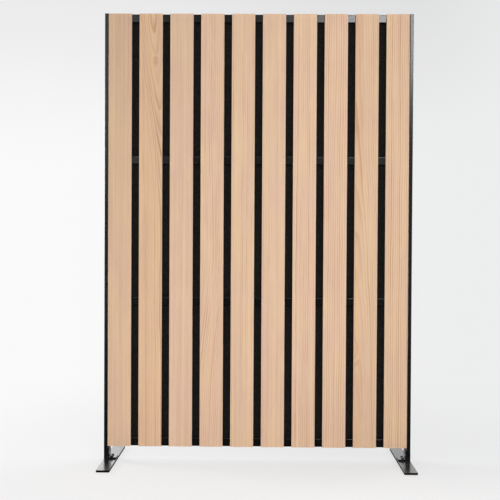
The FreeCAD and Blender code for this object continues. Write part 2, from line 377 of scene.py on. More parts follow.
@dataclass(frozen=True)
class Timber(Finish):
    """Planed pale softwood, cut out of a log whose growth rings run through the board.

    Attributes:
        seed: A number that sets this board's pattern apart.
        pith_across, pith_behind: How far the log's heart lies to the right of the board and behind it.
        year: The width of a year's growth.
        figure: How strongly the late wood stands out.
        warmth: From 0, pinkish, to 1, yellowish.
        ripe: How far the board has turned to orange, from 0 to 1.
        heartwood: How much further its left side has, where it reaches the log's heartwood.
        tone: A level for the whole board, around 1.
        fade: How much that level changes for each metre up: painted shade where it darkens the board
            upward, and painted light where it lightens it.
        lean_across, lean_behind: How far the heart moves right and back for each metre of its bend.
        bend_from, bend_to: The heights between which the heart leans.
        wander: How far the grain bends across the board.
        broken: How much the late wood's lines come and go, from 0 to 1.
        knot: A knot, where the board has one.
    """

    seed: int
    pith_across: float
    pith_behind: float
    year: float
    figure: float
    warmth: float
    ripe: float = 0.0
    heartwood: float = 0.0
    tone: float = 1.0
    fade: float = 0.0
    lean_across: float = 0.0
    lean_behind: float = 0.0
    bend_from: float = 0.0
    bend_to: float = 1.7
    wander: float = 0.010
    broken: float = 0.7
    knot: Optional[Knot] = None

    EARLY_PINK = (0.784, 0.534, 0.386)
    EARLY_YELLOW = (0.770, 0.556, 0.350)
    RIPE = (0.760, 0.490, 0.290)
    LATE_PINK = (0.555, 0.262, 0.148)
    LATE_YELLOW = (0.565, 0.285, 0.138)
    END_GRAIN = (0.56, 0.36, 0.22)
    ARRIS = (0.85, 0.65, 0.49)

    # Figures of the wood, with their scales across, through and along the board.
    BEND = Layer((2.0, 2.0, 0.9), 1.0)
    WAVER = Layer((13.0, 13.0, 2.6), 3.0, 0.55)
    DRIFT = Layer((16.0, 16.0, 3.5), 3.0, 0.6)
    PATCH = Layer((24.0, 24.0, 4.5), 2.0, 0.6, shows=(0.32, 0.66))
    STREAK = Layer((110.0, 110.0, 0.9))
    PORE = Layer((480.0, 480.0, 15.0), 1.0, shows=(0.64, 0.74))
    FIBRE = Layer((620.0, 620.0, 7.0), 3.0, 0.6)

    # How far the patterns of two boards lie apart for each step of their seeds.
    RING_STEP = (3.1, 7.7, 1.3)
    GRAIN_STEP = (5.3, 2.9, 4.1)

    # How much years differ, and where in a year the late wood begins and ends.
    UNEVEN_PACE = 0.37
    UNEVEN_YEARS = 1.4
    FAINTEST_YEAR = 0.2
    LATE_BEGINS = (0.30, 0.90)
    LATE_ENDS = (0.93, 1.0)

    HEARTWOOD_EDGE = (-0.012, -0.028)
    HEARTWOOD_SWAY = 0.05
    END_FACE = (0.5, 0.9)
    END_SHARE = 0.65
    END_LEVEL = 1.15
    ARRIS_WIDTH = 0.0028
    ARRIS_SHARE = 0.5
    ROUGHNESS = 0.56
    GRAIN_DEPTH = 0.00016

    def apart(self, place: Signal, step: Place) -> Signal:
        """A place moved by as many steps as this board's seed says."""
        return place + tuple(self.seed * part for part in step)

    def rings(self, graph: Graph, place: Signal) -> Signal:
        """Counts the years from the heart of the log.

        Args:
            graph: The material's graph.
            place: Where a point lies in the board.

        Returns:
            The number of years, whose whole numbers are the ring boundaries.
        """
        x, y, z = place.parts()
        moved = self.apart(place, self.RING_STEP)
        bend = self.BEND.at(moved).swing(2.0 * self.wander)
        waver = self.WAVER.at(moved).swing(2.0 * self.year)
        bent = z.ramp(self.bend_from, self.bend_to) * (self.bend_to - self.bend_from)
        across = x + bend - (self.pith_across + self.lean_across * bent)
        behind = y - (self.pith_behind + self.lean_behind * bent)
        years = ((across * across + behind * behind).root() + waver) / self.year
        if self.knot:
            years = years + self.knot.away(place).bell() * self.knot.rings
        pace = years * (self.UNEVEN_PACE, 0.0, 0.0) + (0.0, self.seed, 0.0)
        return years + graph.noise(pace, 1.0) * self.UNEVEN_YEARS

    def paint(self, graph: Graph, box: Box) -> None:
        """Builds the nodes of one board.

        Args:
            graph: The empty graph of the material.
            box: The board's box, in the board's own frame.
        """
        place = graph.place()
        x, _, z = place.parts()
        moved = self.apart(place, self.GRAIN_STEP)
        fibre, streak, drift, pore, patch = (
            layer.at(moved) for layer in (self.FIBRE, self.STREAK, self.DRIFT, self.PORE, self.PATCH)
        )
        years = self.rings(graph, place)
        season = years.fraction()
        late = season.ramp(*self.LATE_BEGINS) * (1.0 - season.ramp(*self.LATE_ENDS))
        chance = graph.chance(years.floor() + self.seed)
        strength = self.FAINTEST_YEAR + (1.0 - self.FAINTEST_YEAR) * chance
        shown = (1.0 - self.broken) + self.broken * patch
        if self.knot:
            shown = shown.most(self.knot.away(place).bell())

        tint = self.warmth + drift.swing(2.4) + streak.swing(1.2)
        ripe = self.ripe
        if self.heartwood:
            inside = (x + drift.swing(self.HEARTWOOD_SWAY)).ramp(*self.HEARTWOOD_EDGE)
            ripe = ripe + self.heartwood * inside
        early = graph.mix(ripe, graph.mix(tint, self.EARLY_PINK, self.EARLY_YELLOW), self.RIPE)
        dark = graph.mix(tint, self.LATE_PINK, self.LATE_YELLOW)
        colour = graph.mix(late * strength * shown * self.figure, early, dark)
        if self.knot:
            colour = graph.mix(self.knot.bark(place), colour, self.LATE_PINK)
        level = 1.0 + fibre.swing(0.14) + streak.swing(0.24) + drift.swing(0.16) - 0.10 * pore
        # The level changes with height by painted light and shade, which stand in for light falling off
        # along the board.
        colour = graph.shade(colour, level * (self.tone + self.fade * (z - box.middle.z)))

        end = abs(graph.upward()).ramp(*self.END_FACE)
        end_grain = graph.shade(self.END_GRAIN, self.END_LEVEL - 0.5 * late)
        colour = graph.mix(end * self.END_SHARE, colour, end_grain)
        rim = graph.arris(place, box, self.ARRIS_WIDTH)
        height = 0.55 * fibre - 0.5 * pore + 0.35 * late + 0.2 * streak
        rough = self.ROUGHNESS + fibre.swing(0.16) - 0.07 * late + 0.08 * pore + 0.12 * end
        graph.surface({
            "Base Color": graph.mix(rim * self.ARRIS_SHARE, colour, self.ARRIS),
            "Roughness": rough,
            "Specular IOR Level": 0.35,
            "Normal": graph.bump(height, self.GRAIN_DEPTH),
        })


@dataclass(frozen=True)
class PowderCoat(Finish):
    """Satin black powder coating, a little thin on the edges, with a trace of dust on top faces.

    Attributes:
        roughness: The roughness of a clean face.
        wear_width: How far from an edge the coat thins.
        wear: How much of the metal shows on the edges.
        dust: How much dust lies on faces that look up.
    """

    roughness: float = 0.24
    wear_width: float = 0.0011
    wear: float = 0.5
    dust: float = 0.35

    BLACK = (0.0042, 0.0042, 0.0046)
    WORN = (0.045, 0.044, 0.043)
    DUST = (0.11, 0.105, 0.10)
    CLOUD = Layer(7.0, 3.0)
    CHIPS = Layer(75.0, 3.0, 0.65, shows=(0.42, 0.70))
    PEEL = Layer(640.0)
    SPECKS = Layer(950.0, 2.0, 0.7, shows=(0.55, 0.78))
    GRIT = Layer(3900.0, 1.0)
    PEEL_DEPTH = 0.00003

    # How much of the dust is a film, and where film, specks and top faces begin and are complete.
    FILM_SHARE = 0.25
    FILM = (0.35, 0.7)
    SPECKLED = (0.3, 0.6)
    TOP_FACE = (0.8, 1.0)

    def paint(self, graph: Graph, box: Box) -> None:
        """Builds the nodes of one coated piece.

        Args:
            graph: The empty graph of the material.
            box: The piece's box, whose edges are worn.
        """
        place = graph.place()
        cloud, chips, peel, specks, grit = (
            layer.at(place) for layer in (self.CLOUD, self.CHIPS, self.PEEL, self.SPECKS, self.GRIT)
        )
        worn = graph.arris(place, box, self.wear_width) * chips * self.wear
        film, speckled = cloud.ramp(*self.FILM), specks * cloud.ramp(*self.SPECKLED)
        dust = self.FILM_SHARE * film + (1.0 - self.FILM_SHARE) * speckled
        dusty = graph.upward().ramp(*self.TOP_FACE) * dust * self.dust
        colour = graph.mix(worn, self.BLACK, self.WORN)
        graph.surface({
            "Base Color": graph.mix(dusty, colour, self.DUST),
            "Roughness": self.roughness + cloud.swing(0.08) + grit.swing(0.06) + 0.2 * dusty,
            "Specular IOR Level": 0.5,
            "Coat Weight": 0.7,
            "Coat Roughness": 0.2,
            "Normal": graph.bump(0.7 * peel + 0.3 * grit, self.PEEL_DEPTH),
        })


class PressedFelt(Finish):
    """Pressed felt of black fibres with a few paler ones."""

    BLACK = (0.0080, 0.0077, 0.0070)
    PALE = (0.050, 0.048, 0.0445)
    SHEEN = (0.5, 0.5, 0.5)
    SWAY = Layer(60.0, 1.0)
    SWAY_REACH = 0.006
    CLUMP = Layer(130.0, 3.0, 0.6)
    CLUMPED = (0.38, 0.62)
    FLUFF = Layer(1900.0, 2.0, 0.7)
    ROUGHNESS = 0.93
    PILE_DEPTH = 0.0006

    # How pale the fibres are between the clumps, and below the others.
    LOOSE_SHARE = 0.35
    SUNK_SHARE = 0.4

    # The directions of the layers of fibres, in radians, and their scales along, aside and through.
    STRAND_TURNS = (0.15, 0.95, 1.75, 2.6)
    STRAND_SCALES = (95.0, 1150.0, 800.0)
    STRAND_STEP = (31.0, 0.0, 17.0)
    STRAND_EDGE = 0.035

    def strands(self, graph: Graph, place: Signal, turn: float) -> Signal:
        """Thin wavy fibres that lie mostly one way on the felt's face.

        Args:
            graph: The material's graph.
            place: Where a point lies.
            turn: The fibres' direction on the face, in radians.

        Returns:
            1 on the fibres, and 0 between them.
        """
        x, y, z = place.parts()
        along = x * math.cos(turn) + z * math.sin(turn)
        aside = z * math.cos(turn) - x * math.sin(turn)
        turned_place = graph.value("ShaderNodeCombineXYZ", 0, {0: along, 1: aside, 2: y})
        step = tuple(turn * part for part in self.STRAND_STEP)
        field = graph.noise(turned_place * self.STRAND_SCALES + step)
        return abs(field - 0.5).ramp(self.STRAND_EDGE, 0.0)

    def paint(self, graph: Graph, box: Box) -> None:
        """Builds the nodes of the felt.

        Args:
            graph: The empty graph of the material.
            box: The felt's box, which this finish doesn't need.
        """
        place = graph.place()
        swayed = place + self.SWAY.at(place) * self.SWAY_REACH
        fibres = [self.strands(graph, swayed, turn) for turn in self.STRAND_TURNS]
        lifted = fibres[0].most(fibres[1])
        sunk = fibres[2].most(fibres[3])
        clump, fluff = self.CLUMP.at(place), self.FLUFF.at(place)
        clumped = self.LOOSE_SHARE + (1.0 - self.LOOSE_SHARE) * clump.ramp(*self.CLUMPED)
        pale = (lifted * clumped).most(sunk * self.SUNK_SHARE)
        colour = graph.mix(pale + fluff.swing(0.16), self.BLACK, self.PALE)
        height = 0.5 * fluff + 0.35 * lifted + 0.25 * clump
        graph.surface({
            "Base Color": graph.shade(colour, 1.0 + clump.swing(0.24)),
            "Roughness": self.ROUGHNESS + fluff.swing(0.1),
            "Specular IOR Level": 0.15,
            "Sheen Weight": 0.12,
            "Sheen Roughness": 0.55,
            "Sheen Tint": self.SHEEN,
            "Normal": graph.bump(height, self.PILE_DEPTH, strength=0.8),
        })


class ZincPlate(Finish):
    """Bright zinc plating with a faint milky bloom."""

    BRIGHT = (0.74, 0.75, 0.77)
    BLOOM = (0.52, 0.52, 0.50)
    MILKY = Layer(260.0, 3.0, 0.6, shows=(0.40, 0.68))
    SCRATCH = Layer((2600.0, 300.0, 900.0))
    GRAIN = Layer(5200.0, 1.0)
    BLOOM_SHARE = 0.6
    ROUGHNESS = 0.27
    SCRATCH_DEPTH = 0.00002

    def paint(self, graph: Graph, box: Box) -> None:
        """Builds the nodes of one plated piece.

        Args:
            graph: The empty graph of the material.
            box: The piece's box, which this finish doesn't need.
        """
        place = graph.place()
        milky, scratch, grain = (
            layer.at(place) for layer in (self.MILKY, self.SCRATCH, self.GRAIN)
        )
        colour = graph.mix(milky * self.BLOOM_SHARE, self.BRIGHT, self.BLOOM)
        graph.surface({
            "Base Color": graph.shade(colour, 1.0 + grain.swing(0.16)),
            "Metallic": 1.0,
            "Roughness": self.ROUGHNESS + 0.16 * milky + scratch.swing(0.1),
            "Normal": graph.bump(0.6 * scratch + 0.4 * grain, self.SCRATCH_DEPTH),
        })


class Rubber(Finish):
    """Matt black rubber with a moulded grain."""

    BLACK = (0.012, 0.012, 0.0125)
    SCUFFED = (0.045, 0.044, 0.042)
    SCUFFS = Layer(140.0, 4.0, 0.65, shows=(0.52, 0.75))
    GRAIN = Layer(2400.0)
    SCUFF_SHARE = 0.5
    ROUGHNESS = 0.78
    GRAIN_DEPTH = 0.00012

    def paint(self, graph: Graph, box: Box) -> None:
        """Builds the nodes of one rubber piece.

        Args:
            graph: The empty graph of the material.
            box: The piece's box, which this finish doesn't need.
        """
        place = graph.place()
        scuffs, grain = self.SCUFFS.at(place), self.GRAIN.at(place)
        graph.surface({
            "Base Color": graph.mix(scuffs * self.SCUFF_SHARE, self.BLACK, self.SCUFFED),
            "Roughness": self.ROUGHNESS + 0.14 * scuffs + grain.swing(0.1),
            "Specular IOR Level": 0.4,
            "Normal": graph.bump(grain, self.GRAIN_DEPTH),
        })


class Shape:
    """The points and faces of one or more closed forms, whose edges stay sharp over a crease angle."""

    CREASE = math.radians(38.0)

    def __init__(self) -> None:
        """Starts with nothing."""
        self.points: list[Vector] = []
        self.faces: list[tuple[int, ...]] = []

    def loft(self, rings: Sequence[Ring], around: bool = False) -> "Shape":
        """Adds a skin over rings that have the same number of points.

        Args:
            rings: The rings in order, each running anticlockwise seen from where the rings go.
            around: True where the last ring joins the first, and False where both ends are closed.

        Returns:
            This shape.
        """
        start, count = len(self.points), len(rings[0])
        for ring in rings:
            self.points.extend(ring)
        last = len(rings) if around else len(rings) - 1
        for row in range(last):
            low = start + row * count
            high = start + (row + 1) % len(rings) * count
            for i in range(count):
                j = (i + 1) % count
                self.faces.append((low + i, low + j, high + j, high + i))
        if not around:
            top = start + (len(rings) - 1) * count
            self.faces.append(tuple(reversed(range(start, start + count))))
            self.faces.append(tuple(range(top, top + count)))
        return self

    def copies(self, matrices: Sequence[Matrix]) -> "Shape":
        """Repeats this shape.

        Args:
            matrices: Where each copy goes.

        Returns:
            A new shape with all the copies.
        """
        row = Shape()
        for matrix in matrices:
            start = len(row.points)
            row.points.extend(matrix @ point for point in self.points)
            row.faces.extend(tuple(start + i for i in face) for face in self.faces)
        return row

    def build(self, name: str, origin: Vector) -> bpy.types.Object:
        """Makes an object of the shape.

        Args:
            name: The object's name.
            origin: The object's place, from which its points are measured.

        Returns:
            The new object.
        """
        mesh = bpy.data.meshes.new(name)
        mesh.from_pydata(self.points, [], self.faces)
        mesh.shade_smooth()
        mesh.set_sharp_from_angle(angle=self.CREASE)
        piece = bpy.data.objects.new(name, mesh)
        piece.location = origin
        bpy.context.scene.collection.objects.link(piece)
        weighted = piece.modifiers.new("even_faces", "WEIGHTED_NORMAL")
        weighted.keep_sharp = True
        return piece


def add_piece(shape: Shape, name: str, origin: Vector, node: str) -> bpy.types.Object:
    """Makes a piece of the object that takes the place of a CAD node.

    Args:
        shape: The piece's shape.
        name: The piece's name.
        origin: The piece's place.
        node: The CAD node that it stands for.

    Returns:
        The new piece.
    """
    piece = shape.build(name, origin)
    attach(piece, ROOT)
    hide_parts(node)
    log.info("made %s in place of %s", name, node)
    return piece


def add_fasteners(shape: Shape, name: str, node: str, coat: Finish) -> None:
    """Makes and dresses steel fasteners, shaped in the model's frame, in place of a CAD node."""
    piece = add_piece(shape, name, Vector(), node)
    coat.dress(piece, Box.of_node(node))


def dress_node(node: str, finish: Finish) -> None:
    """Gives a finish to a CAD node that stays."""
    finish.dress(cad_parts[node], Box.of_node(node))
    log.info("dressed %s", node)


def rounded_ring(half_x: float, half_y: float, corner: float, height: float, steps: int = 6) -> Ring:
    """A rounded rectangle.

    Args:
        half_x: Half its size along X.
        half_y: Half its size along Y.
        corner: The radius of its corners.
        height: The Z of all its points.
        steps: How many edges each corner has.

    Returns:
        Its points, anticlockwise seen from above.
    """
    ring = []
    for quarter, (sign_x, sign_y) in enumerate(((1, 1), (-1, 1), (-1, -1), (1, -1))):
        for step in range(steps + 1):
            turn = QUARTER_TURN * (quarter + step / steps)
            x = sign_x * (half_x - corner) + corner * math.cos(turn)
            y = sign_y * (half_y - corner) + corner * math.sin(turn)
            ring.append(Vector((x, y, height)))
    return ring


def turned(profile: Sequence[Span], count: int) -> list[Ring]:
    """Turns a profile around the Z axis.

    Args:
        profile: The radius and the height of each ring.
        count: How many points each ring has.

    Returns:
        The rings, each running anticlockwise seen from above.
    """
    turns = [2 * math.pi * i / count for i in range(count)]
    return [
        [Vector((radius * math.cos(turn), radius * math.sin(turn), height)) for turn in turns]
        for radius, height in profile
    ]


def plain_washer(hole: float, radius: float, thickness: float, soft: float) -> Shape:
    """A washer around the Z axis, standing on Z 0, with rounded edges.

    Args:
        hole: The radius of the hole.
        radius: The outer radius.
        thickness: The thickness.
        soft: The radius of the edges.

    Returns:
        The washer's shape.
    """
    edge_steps, points = 4, 64
    middle, half = (hole + radius) / 2, (radius - hole) / 2
    section = rounded_ring(half, thickness / 2, soft, 0.0, edge_steps)
    profile = [(middle + point.x, thickness / 2 + point.y) for point in section]
    return Shape().loft(turned(profile, points), around=True)


def ease(share: float) -> float:
    """A smooth step from 0 to 1."""
    share = min(max(share, 0.0), 1.0)
    return share * share * (3 - 2 * share)


@dataclass(frozen=True)
class Slats:
    """The boards of the screen's front.

    Attributes:
        timbers: The finish of each board, from left to right.
        arris_round: The radius of the long edges.
        end_round: The radius of the end edges.
        bow: How far a board may bow between two rails.
        cup: How far a board's middle may stand back from its edges.
    """

    timbers: Sequence[Timber]
    arris_round: float = 0.0015
    end_round: float = 0.0006
    bow: float = 0.0002
    cup: float = 0.00015

    # Stretches along a board and along its end edges, free spans between rails, and bows in a metre.
    STATIONS = 48
    END_STEPS = 4
    SPANS = 3
    BOW_PACE = 1.2

    def board(self, half: Vector, seed: int) -> Shape:
        """Builds one board around its lower middle.

        Args:
            half: Half the board's sizes.
            seed: A number that sets this board's bow apart.

        Returns:
            The board's shape.
        """
        length = 2 * half.z
        turns = [QUARTER_TURN * step / self.END_STEPS for step in range(self.END_STEPS)]
        foot = [
            (self.end_round * (1 - math.sin(turn)), self.end_round * (1 - math.cos(turn)))
            for turn in turns
        ]
        middle = [
            (0.0, self.end_round + (length - 2 * self.end_round) * i / self.STATIONS)
            for i in range(self.STATIONS + 1)
        ]
        head = [(inset, length - level) for inset, level in reversed(foot)]
        rings = []
        for inset, level in foot + middle + head:
            ring = rounded_ring(half.x - inset, half.y - inset, self.arris_round - inset, level)
            free = math.sin(math.pi * self.SPANS * level / length) ** 2
            lift = noise.noise(Vector((seed, 0.0, level * self.BOW_PACE))) * self.bow * free
            for point in ring:
                point.y += lift + self.cup * free * (1 - (point.x / half.x) ** 2)
            rings.append(ring)
        return Shape().loft(rings)

    def build(self) -> None:
        """Makes and dresses every board."""
        for number, timber in enumerate(self.timbers, start=1):
            node = f"slat_{number:02d}"
            box = Box.of_node(node)
            shape = self.board(box.half, timber.seed)
            origin = Vector((box.middle.x, box.middle.y, box.low.z))
            board = add_piece(shape, f"board_{number:02d}", origin, node)
            timber.dress(board, Box(Vector((0.0, 0.0, box.half.z)), box.half))


@dataclass(frozen=True)
class SteelFrame:
    """The uprights and rails, with the bolts that join them.

    Attributes:
        coat: The finish of uprights and rails.
        bolt_coat: The finish of the bolts.
        zinc: The finish of what the rails hide.
    """

    coat: PowderCoat
    bolt_coat: PowderCoat
    zinc: ZincPlate

    RAILS = ("rail_top", "rail_upper", "rail_lower", "rail_bottom")
    HIDDEN = ("rail_plugs", "slat_screws")

    def build(self) -> None:
        """Dresses the frame, whose solids have their final shape."""
        for side in Side:
            dress_node(f"upright_{side.word}", self.coat)
            dress_node(f"rail_bolts_{side.word}", self.bolt_coat)
        for rail in self.RAILS:
            dress_node(rail, self.coat)
        for hidden in self.HIDDEN:
            dress_node(hidden, self.zinc)


@dataclass(frozen=True)
class FeltBack:
    """The felt board with its washers and screws.

    Attributes:
        felt: The board's finish.
        coat: The finish of washers and screws.
        columns, rows: How many fixings stand side by side and above each other.
        edge_round: The radius of the board's edges.
        swell: How far the felt stands up around a washer that presses it down.
        press_reach: How far from a washer's rim the felt comes up to its full height.
        uneven_front, uneven_back: How far the two faces are from flat.
        washer_radius, washer_hole: The radius of the washers and of their holes.
        screw_radius, screw_tip: The radius of the screws' shanks, and the length of their tips.
        head_radius: The radius of the screws' heads.
        arm_half_width, arm_length, arm_wall: The sizes of the arms of the cross recess.
    """

    felt: PressedFelt
    coat: PowderCoat
    columns: int = 5
    rows: int = 4
    edge_round: float = 0.0022
    swell: float = 0.0011
    press_reach: float = 0.022
    uneven_front: float = 0.0002
    uneven_back: float = 0.0003
    washer_radius: float = 0.0125
    washer_hole: float = 0.0028
    screw_radius: float = 0.0025
    screw_tip: float = 0.003
    head_radius: float = 0.005
    arm_half_width: float = 0.00062
    arm_length: float = 0.0027
    arm_wall: float = 0.0004

    # The felt's grid, and how often its faces rise and fall in a metre.
    NEAR_STEP = 0.0035
    FAR_STEP = 0.014
    EDGE_STEPS = 5
    UNEVEN_PACE = 7.0
    FRONT_SEED = 5.0

    # The fasteners' forms: the washers' edges and the screws' points, as shares of their sizes.
    WASHER_ROUND = 0.25
    TIP_SHARE = 0.08
    HEAD_TAPER = 0.04
    HEAD_RIM = 0.4
    RECESS_DEPTH = 0.55
    RECESS_SLOPE = 0.6
    SCREW_POINTS = 48
    RIM_STEPS = 3
    DOME_STEPS = 22
    SCREW_TURN = 2.39996

    def fixings(self) -> list[Vector]:
        """Finds where the washers lie.

        Returns:
            Their middles on the felt's back face, row by row from below.
        """
        box = Box.of_node("felt_washers")
        span_x = 2 * (box.half.x - self.washer_radius)
        span_z = 2 * (box.half.z - self.washer_radius)
        across = [box.middle.x + span_x * (i / (self.columns - 1) - 0.5) for i in range(self.columns)]
        heights = [box.middle.z + span_z * (i / (self.rows - 1) - 0.5) for i in range(self.rows)]
        return [Vector((x, box.low.y, z)) for z in heights for x in across]

    def lines(self, low: float, high: float, near: Sequence[float]) -> list[float]:
        """Places grid lines across the felt, close together at its edges and around the washers.

        Args:
            low: The felt's lower edge.
            high: The felt's upper edge.
            near: The washers' places.

        Returns:
            The lines' places, rising.
        """
        turns = [QUARTER_TURN * step / self.EDGE_STEPS for step in range(self.EDGE_STEPS + 1)]
        insets = [self.edge_round * (1 - math.cos(turn)) for turn in turns]
        places = [low + inset for inset in insets]
        reach = self.washer_radius + self.press_reach
        end = high - self.edge_round
        while True:
            close = any(abs(places[-1] - place) < reach for place in near)
            following = places[-1] + (self.NEAR_STEP if close else self.FAR_STEP)
            if following >= end - self.NEAR_STEP / 2:
                break
            places.append(following)
        return places + [high - inset for inset in reversed(insets)]

    def depths(self, box: Box, fixings: Sequence[Vector], x: float, z: float) -> Span:
        """Finds the felt's two faces at a point.

        Args:
            box: The felt node's box.
            fixings: The washers' places.
            x: The point's place across.
            z: The point's height.

        Returns:
            The Y of the front face and of the back face.
        """
        inset = min(x - box.low.x, box.high.x - x, z - box.low.z, box.high.z - z)
        short = max(self.edge_round - inset, 0.0)
        rounding = self.edge_round - math.sqrt(max(self.edge_round**2 - short**2, 0.0))
        nearest = min(math.hypot(x - fixing.x, z - fixing.z) for fixing in fixings)
        lift = ease((nearest - self.washer_radius) / self.press_reach)
        front_noise, back_noise = (
            noise.noise(Vector((x * self.UNEVEN_PACE, z * self.UNEVEN_PACE, seed)))
            for seed in (self.FRONT_SEED, 0.0)
        )
        front = box.low.y + self.uneven_front * (1 + front_noise)
        back = box.high.y + lift * (self.swell + self.uneven_back * back_noise)
        return front + rounding, back - rounding

    def board(self, box: Box, fixings: Sequence[Vector]) -> Shape:
        """Builds the felt board in the model's frame.

        Args:
            box: The felt node's box.
            fixings: The washers' places.

        Returns:
            The board's shape.
        """
        across = self.lines(box.low.x, box.high.x, [fixing.x for fixing in fixings])
        heights = self.lines(box.low.z, box.high.z, [fixing.z for fixing in fixings])
        grid = [(x, self.depths(box, fixings, x, z), z) for z in heights for x in across]
        shape = Shape()
        for face in range(2):
            shape.points.extend(Vector((x, depths[face], z)) for x, depths, z in grid)
        wide, layer = len(across), len(grid)
        top = layer - wide
        for i in range(top):
            if (i + 1) % wide:
                quad = (i, i + 1, i + wide + 1, i + wide)
                shape.faces += [quad, tuple(layer + k for k in reversed(quad))]
        border = [
            *range(wide),
            *range(2 * wide - 1, layer, wide),
            *range(layer - 2, top - 1, -1),
            *range(top - wide, 0, -wide),
        ]
        for i, j in zip(border, border[1:] + border[:1]):
            shape.faces.append((j, i, layer + i, layer + j))
        return shape

    def screw(self, head_height: float, shank_length: float) -> Shape:
        """Builds one cross-recessed pan-head screw, with its head standing on Z 0.

        Args:
            head_height: The height of the head.
            shank_length: The length under the head.

        Returns:
            The screw's shape.
        """
        rim = head_height * self.HEAD_RIM
        shares = [step / self.RIM_STEPS for step in range(self.RIM_STEPS + 1)]
        turns = [QUARTER_TURN * step / self.DOME_STEPS for step in range(1, self.DOME_STEPS)]
        body = [
            (self.screw_radius * self.TIP_SHARE, -shank_length),
            (self.screw_radius, self.screw_tip - shank_length),
            (self.screw_radius, 0.0),
        ]
        body += [
            (self.head_radius * (1 - self.HEAD_TAPER * (1 - share)), rim * share) for share in shares
        ]
        dome = turned([
            (self.head_radius * math.cos(turn), rim + (head_height - rim) * math.sin(turn))
            for turn in turns
        ], self.SCREW_POINTS)
        for ring in dome:
            for point in ring:
                point.z -= self.recess(point.x, point.y) * head_height
        return Shape().loft(turned(body, self.SCREW_POINTS) + dome)

    def recess(self, x: float, y: float) -> float:
        """How deep the cross recess is at a point of a screw's head.

        Args:
            x: The point's place along one arm of the cross.
            y: The point's place along the other arm.

        Returns:
            The depth, as a share of the head's height.
        """
        depth = 0.0
        for along, aside in ((abs(x), abs(y)), (abs(y), abs(x))):
            inside = ease((self.arm_half_width + self.arm_wall / 2 - aside) / self.arm_wall)
            reach = ease((self.arm_length - along) / (self.arm_length * self.RECESS_SLOPE))
            depth = max(depth, inside * reach)
        return self.RECESS_DEPTH * depth

    def build(self) -> None:
        """Makes and dresses the felt board, the washers and the screws."""
        fixings = self.fixings()
        box = Box.of_node("acoustic_felt")
        board = add_piece(self.board(box, fixings), "felt_board", Vector(), "acoustic_felt")
        self.felt.dress(board, box)

        to_back = Matrix.Rotation(-QUARTER_TURN, 4, "X")
        washer_box, screw_box = Box.of_node("felt_washers"), Box.of_node("felt_screws")
        thickness = 2 * washer_box.half.y
        soft = thickness * self.WASHER_ROUND
        washer = plain_washer(self.washer_hole, self.washer_radius, thickness, soft)
        washers = washer.copies([Matrix.Translation(place) @ to_back for place in fixings])
        add_fasteners(washers, "penny_washers", "felt_washers", self.coat)

        seat = washer_box.high.y
        screw = self.screw(screw_box.high.y - seat, seat - screw_box.low.y)
        lift = Vector((0.0, thickness, 0.0))
        screws = screw.copies([
            Matrix.Translation(place + lift) @ to_back @ Matrix.Rotation(i * self.SCREW_TURN, 4, "Z")
            for i, place in enumerate(fixings)
        ])
        add_fasteners(screws, "pan_screws", "felt_screws", self.coat)


